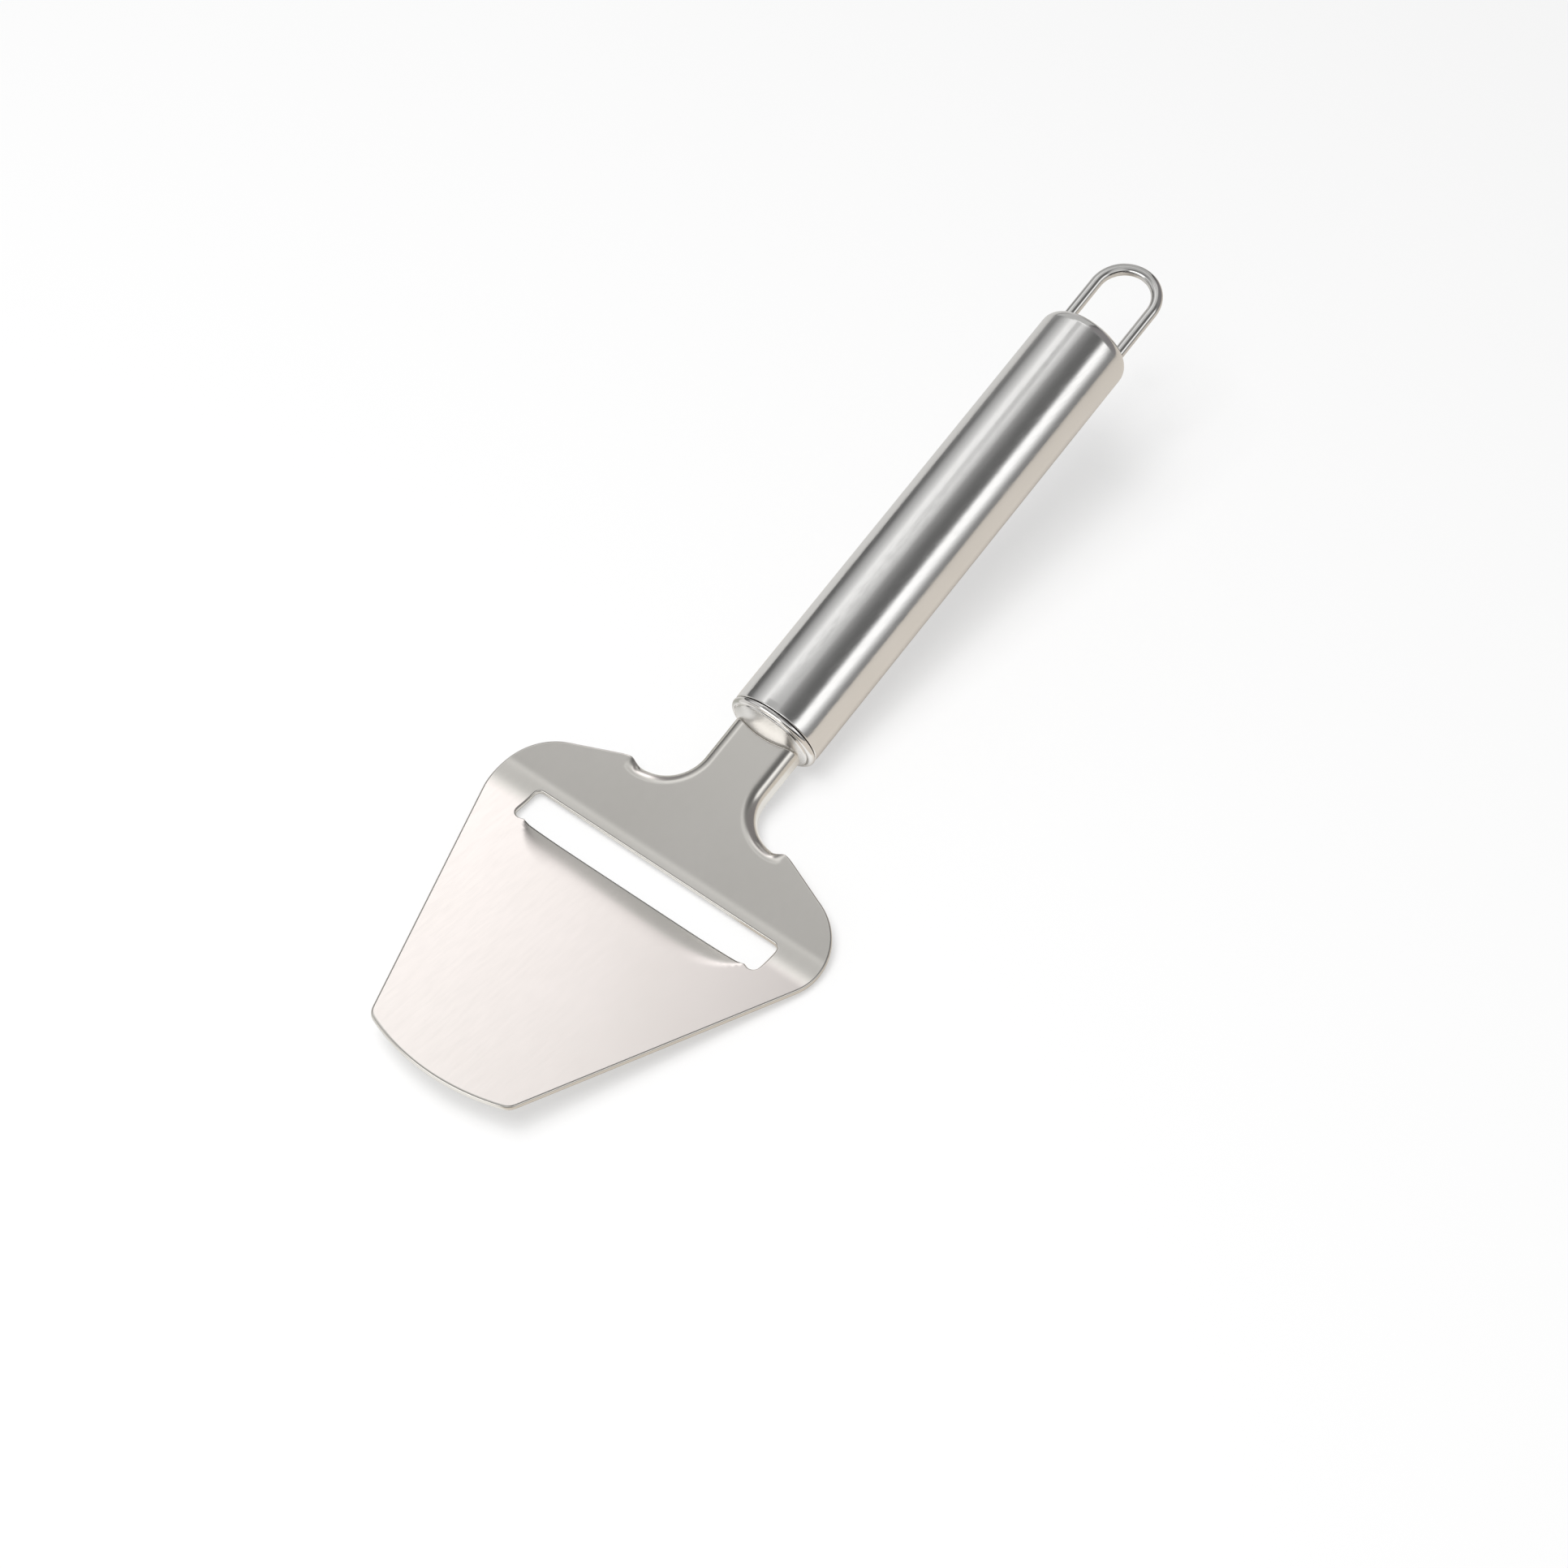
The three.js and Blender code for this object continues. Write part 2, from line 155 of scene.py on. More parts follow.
def sheet_top(x, y):
    """Top face of the sheet at a point of the flat pattern."""
    x, y = np.asarray(x, float), np.asarray(y, float)
    past_kink = 0.01
    ax = np.abs(x)
    dx, dy = ax - fillet_x, y - fillet_y
    dist = np.maximum(np.hypot(dx, dy), tiny)
    on_neck = y > fillet_y
    d = np.where(on_neck, ax - roll_x, roll_reach - dist)
    run = np.clip((kink_angle - np.arctan2(dy, dx)) * fillet_radius / roll_run_in, 0, 1)
    run = np.where(on_neck, 1.0, np.where(ax > kink_x + past_kink, 0.0, run))
    run = ease(np.where((y < fillet_y - roll_reach) | (d <= 0), 0.0, run))
    out, down = rolled(d)
    rolled_x = np.where(on_neck, roll_x + out, fillet_x + (roll_reach - out) * dx / dist)
    rolled_y = np.where(on_neck, y, fillet_y + (roll_reach - out) * dy / dist)
    top_x = (ax + (rolled_x - ax) * run) * np.sign(x)
    top_y = y + (rolled_y - y) * run
    return np.stack([top_x, top_y, bent_height(y) - lip_drop(x, y) - down * run], -1)


def sheet_normal(x, y, nudge=0.02):
    """Direction straight out of the sheet's top face."""
    along_x = sheet_top(x + nudge, y) - sheet_top(x - nudge, y)
    along_y = sheet_top(x, y + nudge) - sheet_top(x, y - nudge)
    n = np.cross(along_x, along_y)
    return n / np.linalg.norm(n, axis=-1, keepdims=True)


def eased(loop):
    """A closed outline with its corners blunted as a press tool leaves them, and most of all where the neck's
    fillet meets the shoulder. Its points are closer where it curves."""
    fine, blunt, blunt_reach = 0.1, 0.4, 16
    kink_blunt, kink_reach, kink_zone = 1.0, 40, 2.5
    straight_step, turn_step = 0.7, 0.14

    def sample(points, at, along):
        ring = np.concatenate([points, points[:1]])
        return np.stack([np.interp(at, along, ring[:, 0]), np.interp(at, along, ring[:, 1])], 1)

    def blurred(points, width, reach):
        steps = np.arange(-reach, reach + 1)
        weight = np.exp(-0.5 * (steps * fine / width) ** 2)
        weight /= weight.sum()
        return sum(share * np.roll(points, -k, 0) for k, share in zip(steps, weight))

    along = np.r_[0, np.cumsum(np.hypot(*(np.roll(loop, -1, 0) - loop).T))]
    n = int(along[-1] / fine)
    loop = sample(loop, np.arange(n) * along[-1] / n, along)
    sharp, soft = blurred(loop, blunt, blunt_reach), blurred(loop, kink_blunt, kink_reach)
    off_kink = (np.abs(loop[:, 0]) - kink_x) ** 2 + (loop[:, 1] - kink_y) ** 2
    loop = sharp + (soft - sharp) * np.exp(-off_kink / kink_zone ** 2)[:, None]
    ahead = np.roll(loop, -1, 0) - loop
    heading = np.arctan2(ahead[:, 1], ahead[:, 0])
    turn = np.abs((np.roll(heading, -1) - heading + math.pi) % (2 * math.pi) - math.pi)
    worth = np.r_[0, np.cumsum(fine / straight_step + turn / turn_step)]
    m = int(worth[-1])
    return sample(loop, np.arange(m) * worth[-1] / m, worth)


def blade_outline():
    """Flat pattern of the blade, right half from the tip to the end of the neck, then mirrored."""
    side_slope, rear_slope = math.hypot(1, side_taper), math.hypot(1, rear_taper)
    shoulder_x = blade_half - shoulder_radius
    side_touch_x = shoulder_x + shoulder_radius / side_slope
    side_touch_y = shoulder_y - shoulder_radius * side_taper / side_slope
    tip_centre_y, corner_reach = tip_y + tip_radius, tip_radius - tip_corner
    corner_angle, tries = -math.pi / 2, 80
    for _ in range(tries):
        corner_x = corner_reach * math.cos(corner_angle)
        corner_y = tip_centre_y + corner_reach * math.sin(corner_angle)
        off_side = (side_touch_x + side_taper * (corner_y - side_touch_y) - corner_x) / side_slope
        corner_angle += (off_side - tip_corner) / tip_radius
    corner_x = corner_reach * math.cos(corner_angle)
    corner_y = tip_centre_y + corner_reach * math.sin(corner_angle)
    side_angle, rear_angle = -math.atan(side_taper), math.atan(rear_taper)
    rear_touch = (shoulder_x + shoulder_radius / rear_slope,
                  shoulder_y + shoulder_radius * rear_taper / rear_slope)
    turns, corner_step, neck_step, end_points = 60, 0.2, 0.5, 50
    developed = roll_radius + (roll_full - roll_radius) * ease(np.linspace(0, 1, turns))
    neck_end = -weld_gap - float(cap_front(np.hypot(neck_half, flange_foot)))
    across = np.linspace(flange_edge, 0, end_points)[1:]
    end = sheet_top(across, 0 * across)
    right = np.concatenate([
        arc(0, tip_centre_y, tip_radius, -math.pi / 2, corner_angle),
        arc(corner_x, corner_y, tip_corner, corner_angle, side_angle, corner_step),
        arc(shoulder_x, shoulder_y, shoulder_radius, side_angle, rear_angle),
        line(rear_touch, (kink_x, kink_y)),
        around(fillet_x, fillet_y, roll_reach - developed, np.linspace(kink_angle, -math.pi, turns)),
        line((flange_edge, fillet_y), (flange_edge, neck_end), neck_step)[1:],
        np.stack([across, -weld_gap - cap_front(np.hypot(end[:, 0], end[:, 2]))], 1)])
    return eased(np.concatenate([right, right[1:-1][::-1] * [-1, 1]]))


def slot_outline():
    """Slot in the flat pattern, clockwise, with how sharply each point is ground (1 along the lip)."""
    relief_x, relief_y = slot_half - lip_relief, lip_y + lip_relief * relief_set_back
    meet = math.asin((lip_y - relief_y) / lip_relief)
    lip_end = relief_x - lip_relief * math.cos(meet)
    corner_x, corner_y = slot_half - slot_corner, slot_rear_y - slot_corner
    corner_step, lip_step, on_line = 0.2, 0.6, 0.04
    loop = eased(np.concatenate([
        line((-corner_x, slot_rear_y), (corner_x, slot_rear_y)),
        arc(corner_x, corner_y, slot_corner, math.pi / 2, 0, corner_step),
        arc(relief_x, relief_y, lip_relief, 0, -math.pi - meet, corner_step),
        line((lip_end, lip_y), (-lip_end, lip_y), lip_step),
        arc(-relief_x, relief_y, lip_relief, meet, -math.pi, corner_step),
        arc(-corner_x, corner_y, slot_corner, math.pi, math.pi / 2, corner_step)]))
    on_lip = np.abs(loop[:, 1] - lip_y) < on_line
    return loop, np.where(on_lip, np.clip((lip_half - np.abs(loop[:, 0])) / lip_run_out, 0, 1), 0)


def out_of_material(loop):
    """Unit direction in the flat pattern that points from the metal to the open side of each point."""
    t = np.roll(loop, -1, 0) - np.roll(loop, 1, 0)
    t /= np.linalg.norm(t, axis=1, keepdims=True)
    return np.stack([t[:, 1], -t[:, 0]], 1)


def inside(points, loop):
    """Which points lie within a closed outline."""
    x, y = points[:, 0], points[:, 1]
    hit = np.zeros(len(points), bool)
    for (x0, y0), (x1, y1) in zip(loop, np.roll(loop, -1, 0)):
        if y0 != y1:
            level = (y0 > y) != (y1 > y)
            hit ^= level & (x < (x1 - x0) * (y - y0) / (y1 - y0) + x0)
    return hit


def far_from(points, loop, least, batch=4000):
    """Which points keep a least distance from every point of an outline."""
    ok = np.ones(len(points), bool)
    for i in range(0, len(points), batch):
        off = points[i:i + batch, None] - loop[None]
        ok[i:i + batch] = np.hypot(off[..., 0], off[..., 1]).min(1) > least
    return ok


# The flat pattern's borders lie in from its edges by the width of the rounding, or of the lip's ground bevel.
outer = blade_outline()
slot, ground = slot_outline()
outer_n, slot_n = out_of_material(outer), out_of_material(slot)
outer_in = outer - outer_n * edge_round
slot_in = slot - slot_n * (edge_round + (lip_bevel - edge_round) * ground)[:, None]
n_out, n_slot = len(outer_in), len(slot_in)

# Its inner points: a square grid, closer along the bend and the lip, and rows that follow the rolled edges.
grid_step, bend_step, border_clear = 0.8, 0.4, 0.18
grid_front, bend_front, bend_rear = -95.0, -50.0, -30.0
coarse_before, coarse_after = -50.2, -29.8
roll_margin, row_from, row_step, point_step, kink_margin, least_points = 0.5, -0.4, 0.22, 0.5, 0.25, 12
columns = np.arange(-blade_half, blade_half, grid_step)
coarse = np.stack(np.meshgrid(columns, np.arange(grid_front, 0, grid_step)), -1).reshape(-1, 2)
close = np.stack(np.meshgrid(columns, np.arange(bend_front, bend_rear, bend_step)), -1).reshape(-1, 2)
coarse = coarse[(coarse[:, 1] < coarse_before) | (coarse[:, 1] > coarse_after)]
grid = np.concatenate([coarse, close])
near_fillet = np.hypot(np.abs(grid[:, 0]) - fillet_x, grid[:, 1] - fillet_y) < roll_reach + roll_margin
near_neck = (grid[:, 1] > fillet_y) & (np.abs(grid[:, 0]) > roll_x - roll_margin)
grid = grid[~(near_fillet | near_neck)]
neck_y = np.arange(fillet_y + point_step, 0, point_step)
rows = []
for d in np.arange(row_from, roll_full, row_step):
    r = roll_reach - d
    turns = max(least_points, int(r * 2 / point_step))
    rows.append(around(fillet_x, fillet_y, r, np.linspace(kink_angle + kink_margin, -math.pi, turns)))
    rows.append(np.stack([np.full_like(neck_y, roll_x + d), neck_y], 1))
rows = np.concatenate(rows)
grid = np.concatenate([grid, rows, rows * [-1, 1]])
grid = grid[inside(grid, outer_in) & ~inside(grid, slot_in)]
grid = grid[far_from(grid, np.concatenate([outer_in, slot_in]), border_clear)]

# Triangles between borders and inner points, all facing up. border_at finds a border's point among them.
borders = [(i, (i + 1) % n_out) for i in range(n_out)]
borders += [(n_out + i, n_out + (i + 1) % n_slot) for i in range(n_slot)]
start_points = np.concatenate([outer_in, slot_in, grid])
merge_within = 1e-5
pattern = delaunay_2d_cdt([Vector(p) for p in start_points], borders, [], 0, merge_within)
flat = np.array([tuple(v) for v in pattern[0]])
tris = np.array(pattern[2])
centres = flat[tris].mean(1)
tris = tris[inside(centres, outer_in) & ~inside(centres, slot_in)]
side_a, side_b = flat[tris[:, 1]] - flat[tris[:, 0]], flat[tris[:, 2]] - flat[tris[:, 0]]
faces_down = side_a[:, 0] * side_b[:, 1] - side_a[:, 1] * side_b[:, 0] < 0
tris[faces_down] = tris[faces_down][:, ::-1]
border_at = {source: i for i, sources in enumerate(pattern[3]) for source in sources}

top_n = sheet_normal(flat[:, 0], flat[:, 1])
top_p = sheet_top(flat[:, 0], flat[:, 1])
under = len(flat)
blade_points = [*top_p, *(top_p - top_n * sheet)]
blade_faces = [tuple(t) for t in tris] + [tuple(under + i for i in t[::-1]) for t in tris]
blade_normals = [top_n[i] for t in tris for i in t] + [-top_n[i] for t in tris for i in t[::-1]]
ground_faces = []
wall_rows = 9
ground_rows, ground_least = 6, 0.3


def wall_section(share):
    """Edge of the sheet: out from the inset border and up or down from the middle, with its normal.
    Rounded for a stamped edge (share 0), ground to a bevel with a rounded top along the lip (share 1)."""
    half, row = sheet / 2, np.arange(wall_rows)
    a = np.linspace(math.pi / 2, -math.pi / 2, wall_rows)
    stamped = np.array([
        edge_round * np.cos(a),
        np.where(np.abs(a) > tiny, np.copysign(half - edge_round, a) + edge_round * np.sin(a), 0.0),
        np.cos(a),
        np.sin(a)])
    bevel_rise = sheet - lip_land
    slope = math.hypot(bevel_rise, lip_bevel)
    out_n, up_n = bevel_rise / slope, lip_bevel / slope
    bevelled = np.array([
        np.interp(row, [0, 1, 2, 3, 6, 8], [0, 0.16, 0.32, 0.45, lip_bevel, 0]),
        np.interp(row, [0, 1, 2, 3, 6, 7, 8],
                  [half, half - 0.03, half - 0.10, half - 0.20, lip_land - half, -half, -half]),
        [0.0, 0.38, 0.62, out_n, out_n, out_n, 1.0, 0.3, 0.0],
        [1.0, 0.92, 0.78, up_n, up_n, up_n, 0.0, -0.95, -1.0]])
    return stamped * (1 - share) + bevelled * share


def add_wall(first, directions, shares, inward=0.05):
    """Closes the sheet's edge along one border, from its top face to its under face."""
    ring, ring_n = [], []
    for i, (direction, share) in enumerate(zip(directions, shares)):
        v = border_at[first + i]
        out, up, out_n, up_n = wall_section(share)
        ids = [v]
        for k in range(1, wall_rows - 1):
            x, y = (flat[v] + direction * out[k])[:, None]
            ids.append(len(blade_points))
            blade_points.append((sheet_top(x, y) + sheet_normal(x, y) * (up[k] - sheet / 2))[0])
        ids.append(under + v)
        x, y = (flat[v] - direction * inward)[:, None]
        outward = top_p[v] - sheet_top(x, y)[0]
        outward /= np.linalg.norm(outward)
        ring.append(ids)
        ring_n.append([outward * out_n[k] + top_n[v] * up_n[k] for k in range(wall_rows)])
    for i in range(len(ring)):
        j = (i + 1) % len(ring)
        for k in range(wall_rows - 1):
            if min(shares[i], shares[j]) > ground_least and k < ground_rows:
                ground_faces.append(len(blade_faces))
            blade_faces.append((ring[i][k], ring[i][k + 1], ring[j][k + 1], ring[j][k]))
            blade_normals.extend([ring_n[i][k], ring_n[i][k + 1], ring_n[j][k + 1], ring_n[j][k]])


add_wall(0, outer_n, np.zeros(n_out))
add_wall(n_out, slot_n, ground)


def plain_mesh(name, points, polygons, normals=None):
    """A smooth mesh object, laid on the table, with its own normals if given."""
    mesh = bpy.data.meshes.new(name)
    mesh.from_pydata([tuple(p) for p in lay_down(points)], [], polygons)
    mesh.update()
    for polygon in mesh.polygons:
        polygon.use_smooth = True
    if normals is not None:
        n = turn_down(normals)
        n /= np.linalg.norm(n, axis=1, keepdims=True)
        mesh.normals_split_custom_set([tuple(v) for v in n])
    piece = bpy.data.objects.new(name, mesh)
    scene.collection.objects.link(piece)
    return piece


blade = plain_mesh("blade_sheet", blade_points, blade_faces, blade_normals)


def linear(hex_colour):
    """sRGB hex to linear colour."""
    c = [int(hex_colour[i:i + 2], 16) / 255 for i in (1, 3, 5)]
    return tuple(v / 12.92 if v <= 0.04045 else ((v + 0.055) / 1.055) ** 2.4 for v in c) + (1.0,)


def add_node(tree, kind, settings=None, **links):
    """Adds a node, sets its properties, and fills its inputs with values or links. An input goes by its name,
    or by i and its number."""
    node = tree.nodes.new(kind)
    for key, value in (settings or {}).items():
        setattr(node, key, value)
    for key, value in links.items():
        by_number = key[0] == "i" and key[1:].isdigit()
        socket = node.inputs[int(key[1:]) if by_number else key.replace("_", " ")]
        if isinstance(value, bpy.types.NodeSocket):
            tree.links.new(value, socket)
        else:
            socket.default_value = value
    return node


def new_material(name):
    """A material with an empty node tree."""
    material = bpy.data.materials.new(name)
    material.use_nodes = True
    material.node_tree.nodes.clear()
    return material, material.node_tree


def bare_steel(t, pattern, low, high, rough, **relief):
    """Bare steel: a tint between two colours that follows a pattern, a roughness, and a relief if given."""
    tint = add_node(t, "ShaderNodeMix", {"data_type": "RGBA"}, i0=pattern, i6=linear(low), i7=linear(high))
    shade = add_node(t, "ShaderNodeBsdfPrincipled", Base_Color=tint.outputs[2], Metallic=1.0,
                     Roughness=rough, **relief)
    add_node(t, "ShaderNodeOutputMaterial", Surface=shade.outputs[0])


# Rolled stainless sheet, satin polished: a soft grey mirror with a very fine lengthwise grain. The grain is
# drawn coarser than it is, so that it shows.
grain_width, grain_length, cloud_size, grain_depth = 0.6, 12.0, 20.0, 0.05
sheet_steel, t = new_material("stainless_sheet_satin_polished")
where = add_node(t, "ShaderNodeTexCoord").outputs["Object"]
stretch = add_node(t, "ShaderNodeMapping", Vector=where,
                   Scale=(mm_per_m / grain_width, mm_per_m / grain_length, mm_per_m / grain_width))
grain = add_node(t, "ShaderNodeTexNoise", Vector=stretch.outputs[0], Scale=1.0, Detail=3.0, Roughness=0.6)
cloud = add_node(t, "ShaderNodeTexNoise", Vector=where, Scale=mm_per_m / cloud_size, Detail=2.0)
rough = add_node(t, "ShaderNodeMapRange", Value=grain.outputs[0],
                 From_Min=0.3, From_Max=0.7, To_Min=0.18, To_Max=0.22)
bump = add_node(t, "ShaderNodeBump", Strength=0.004, Distance=grain_depth / mm_per_m, Height=grain.outputs[0])
bare_steel(t, cloud.outputs[0], "#e0ddd7", "#e6e3de", rough.outputs[0], Normal=bump.outputs[0])
blade.data.materials.append(sheet_steel)

# The same sheet, ground to a cutting edge along the lip: rougher, with fine marks across the edge, and painted
# dark as a shade line.
mark_width, mark_length = 0.3, 4.0
edge_steel_painted_dark, t = new_material("stainless_edge_ground_painted_dark")
where = add_node(t, "ShaderNodeTexCoord").outputs["Object"]
stretch = add_node(t, "ShaderNodeMapping", Vector=where,
                   Scale=(mm_per_m / mark_width, mm_per_m / mark_length, mm_per_m / mark_length))
marks = add_node(t, "ShaderNodeTexNoise", Vector=stretch.outputs[0], Scale=1.0, Detail=2.0)
rough = add_node(t, "ShaderNodeMapRange", Value=marks.outputs[0],
                 From_Min=0.3, From_Max=0.7, To_Min=0.3, To_Max=0.42)
# The two dark tints are painted shade: they draw a dark line along the lip's edge.
bare_steel(t, marks.outputs[0], "#6b6966", "#7d7a77", rough.outputs[0])
blade.data.materials.append(edge_steel_painted_dark)
for i in ground_faces:
    blade.data.polygons[i].material_index = 1
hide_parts("blade")
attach(blade, "root")


# Front cap: a pressed stainless cup with a narrow round ring, a fine groove and a shallow domed face.
# It plugs into the handle and the neck is welded to its face.
def face_outwards(mesh):
    """Turns all faces of a closed mesh outwards."""
    shell = bmesh.new()
    shell.from_mesh(mesh)
    bmesh.ops.recalc_face_normals(shell, faces=shell.faces)
    shell.to_mesh(mesh)
    shell.free()


def turned_shell(name, profile, steps=128):
    """A closed section (r, y) turned about the handle's axis. A point on the axis becomes a pole."""
    profile = np.asarray(profile, float)
    x, y = profile[:, 0], profile[:, 1]
    if np.sum(x * np.roll(y, -1) - np.roll(x, -1) * y) < 0:
        profile = profile[::-1]
    angles = np.linspace(0, 2 * math.pi, steps, endpoint=False)
    points, polygons, ids = [], [], []
    for r, y in profile:
        if r < tiny:
            ids.append([len(points)] * steps)
            points.append((0, y, 0))
        else:
            ids.append(list(range(len(points), len(points) + steps)))
            points += [(r * math.cos(a), y, r * math.sin(a)) for a in angles]
    for i in range(len(ids)):
        j = (i + 1) % len(ids)
        for k in range(steps):
            m = (k + 1) % steps
            corners = [ids[i][k], ids[i][m], ids[j][m], ids[j][k]]
            corners = [v for q, v in enumerate(corners) if v != corners[q - 1]]
            if len(corners) >= 3:
                polygons.append(tuple(corners[::-1]))
    piece = plain_mesh(name, points, polygons)
    face_outwards(piece.data)
    return piece


def round_end(radius, shoulder, crown, rows=12, turns=14):
    """Section of a closed end from its pole to its side, y measured outwards from the shoulder's foot."""
    face = radius - shoulder
    section = [(face * i / rows, shoulder + crown * (1 - (i / rows) ** 2)) for i in range(rows)]
    section += [(face + shoulder * math.sin(a), shoulder * math.cos(a))
                for a in np.linspace(0, math.pi / 2, turns)]
    return section


gap, tube_wall, cap_wall, cap_spigot, rim_round = 0.3, 0.6, 0.7, 4.0, 0.12
dome_in, ring_in, groove_y, corner = 0.3, 0.1, 0.25, 0.05
dome_rows, ring_turns, rim_turns = 26, 13, 5
spigot = tube_radius - tube_wall - gap
cap_bore = spigot - cap_wall
ring_foot = tube_radius - cap_shoulder
dome_edge, ring_edge = ring_foot - dome_in, ring_foot + ring_in
dome_y, ring_y = float(cap_front(dome_edge)), float(cap_front(ring_edge))
front = [(r, float(cap_front(r))) for r in np.linspace(0, dome_edge, dome_rows)]
front += [(dome_edge + corner, dome_y - corner), (dome_edge + corner, groove_y + corner),
          (dome_edge + 2 * corner, groove_y), (ring_edge - 2 * corner, groove_y),
          (ring_edge - corner, groove_y + corner), (ring_edge - corner, ring_y - corner)]
front += [(tube_radius - cap_shoulder * (1 - math.sin(a)), cap_shoulder * math.cos(a))
          for a in np.linspace(math.asin(ring_in / cap_shoulder), math.pi / 2, ring_turns)]
section = [(r, -y - gap) for r, y in front]
section += [(tube_radius - rim_round * (1 - math.cos(a)), -gap / 2 - rim_round * (1 - math.sin(a)))
            for a in np.linspace(0, math.pi / 2, rim_turns)]
section += [(spigot, -gap / 2), (spigot, cap_spigot), (cap_bore, cap_spigot)]
section += [(r, -y + cap_wall - gap) for r, y in round_end(cap_bore, cap_shoulder, cap_crown)][::-1]
front_cap = turned_shell("front_cap_cup", section)

# Pressed stainless, polished: the dome is satin from the press and spreads the light, the ring around it is
# burnished to a mirror. Both have the faintest haze from the buffing wheel.
haze_size, satin_within, mirror_beyond = 4.0, 7.8, 8.3
cap_steel, t = new_material("stainless_cup_mirror_polished")
where = add_node(t, "ShaderNodeTexCoord").outputs["Object"]
haze = add_node(t, "ShaderNodeTexNoise", Vector=where, Scale=mm_per_m / haze_size, Detail=3.0)
centred = add_node(t, "ShaderNodeMapping", {"vector_type": "TEXTURE"}, Vector=where,
                   Location=tuple(rest_shift / mm_per_m), Rotation=(rest_tilt, 0, 0))
across_axis = add_node(t, "ShaderNodeVectorMath", {"operation": "MULTIPLY"}, i0=centred.outputs[0], i1=(1, 0, 1))
off_axis = add_node(t, "ShaderNodeVectorMath", {"operation": "LENGTH"}, i0=across_axis.outputs[0])
gloss = add_node(t, "ShaderNodeMapRange", Value=off_axis.outputs["Value"], From_Min=satin_within / mm_per_m,
                 From_Max=mirror_beyond / mm_per_m, To_Min=0.26, To_Max=0.05)
rough = add_node(t, "ShaderNodeMath", {"operation": "MULTIPLY_ADD"},
                 i0=haze.outputs[0], i1=0.05, i2=gloss.outputs[0])
bare_steel(t, haze.outputs[0], "#e9e7e4", "#f2f0ee", rough.outputs[0])
front_cap.data.materials.append(cap_steel)
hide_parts("front_cap")
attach(front_cap, "root")


# Handle: a stainless cup drawn deep into a tube, hollow, closed and rounded at its rear end. Its open end is
# turned in a little where the front cap plugs in. Polished lengthwise, so it shows long streaks.
tube_rear, rear_shoulder, rear_crown = 97.6, 3.0, 0.5
mouth_in, mouth_length = 0.1, 1.6
straight_front, straight_rear, bore_front = 4.0, tube_rear - 2.0, 2.0
mouth_rows, outer_rows, bore_rows = 9, 40, 20
bore = tube_radius - tube_wall
section = [(tube_radius - mouth_in * (1 - y / mouth_length) ** 2, y + gap / 2)
           for y in np.linspace(0, mouth_length, mouth_rows)]
section += [(tube_radius, y) for y in np.linspace(straight_front, straight_rear, outer_rows)]
section += [(r, tube_rear + y) for r, y in round_end(tube_radius, rear_shoulder, rear_crown)[::-1]]
section += [(r, tube_rear + y - tube_wall) for r, y in round_end(bore, rear_shoulder - tube_wall, rear_crown)]
section += [(bore, y) for y in np.linspace(straight_rear, bore_front, bore_rows)] + [(bore, gap / 2)]
handle = turned_shell("handle_tube_drawn", section)

# Drawn stainless tube, polished along its length: long fine streaks in gloss and faint waviness. The streaks
# are drawn coarser than they are, so that they show.
streak_width, streak_length, cloud_size, streak_depth = 0.7, 30.0, 12.0, 0.05
tube_steel, t = new_material("stainless_tube_drawn_polished")
where = add_node(t, "ShaderNodeTexCoord").outputs["Object"]
stretch = add_node(t, "ShaderNodeMapping", Vector=where, Rotation=(-rest_tilt, 0, 0),
                   Scale=(mm_per_m / streak_width, mm_per_m / streak_length, mm_per_m / streak_width))
streak = add_node(t, "ShaderNodeTexNoise", Vector=stretch.outputs[0], Scale=1.0, Detail=3.0, Roughness=0.55)
cloud = add_node(t, "ShaderNodeTexNoise", Vector=where, Scale=mm_per_m / cloud_size, Detail=2.0)
rough = add_node(t, "ShaderNodeMapRange", Value=streak.outputs[0],
                 From_Min=0.3, From_Max=0.7, To_Min=0.09, To_Max=0.19)
bump = add_node(t, "ShaderNodeBump", Strength=0.08, Distance=streak_depth / mm_per_m, Height=streak.outputs[0])
bare_steel(t, cloud.outputs[0], "#eae9e7", "#f0efee", rough.outputs[0], Normal=bump.outputs[0])
handle.data.materials.append(tube_steel)
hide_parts("handle_tube")
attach(handle, "root")


# Hanging loop: stainless wire bent into a long U. Its legs go through the handle's closed end and are welded
# on the inside. The wire follows a leg, half a turn and a leg.
wire_radius, loop_radius, loop_centre_y, loop_root_y = 1.15, 6.4, 111.8, 97.6
wire_points, wire_sides = 220, 32
loop_tree = bpy.data.node_groups.new("bent_wire_loop", "GeometryNodeTree")
for label, size in (("Wire Radius", wire_radius), ("Bend Radius", loop_radius),
                    ("Leg Length", loop_centre_y - loop_root_y)):
    socket = loop_tree.interface.new_socket(label, in_out="INPUT", socket_type="NodeSocketFloat")
    socket.default_value = size / mm_per_m
loop_tree.interface.new_socket("Geometry", in_out="OUTPUT", socket_type="NodeSocketGeometry")
steel_input = loop_tree.interface.new_socket("Wire", in_out="INPUT", socket_type="NodeSocketMaterial")
sizes = add_node(loop_tree, "NodeGroupInput").outputs
straight = add_node(loop_tree, "GeometryNodeCurvePrimitiveLine")
wire = add_node(loop_tree, "GeometryNodeResampleCurve", Curve=straight.outputs[0], Count=wire_points)

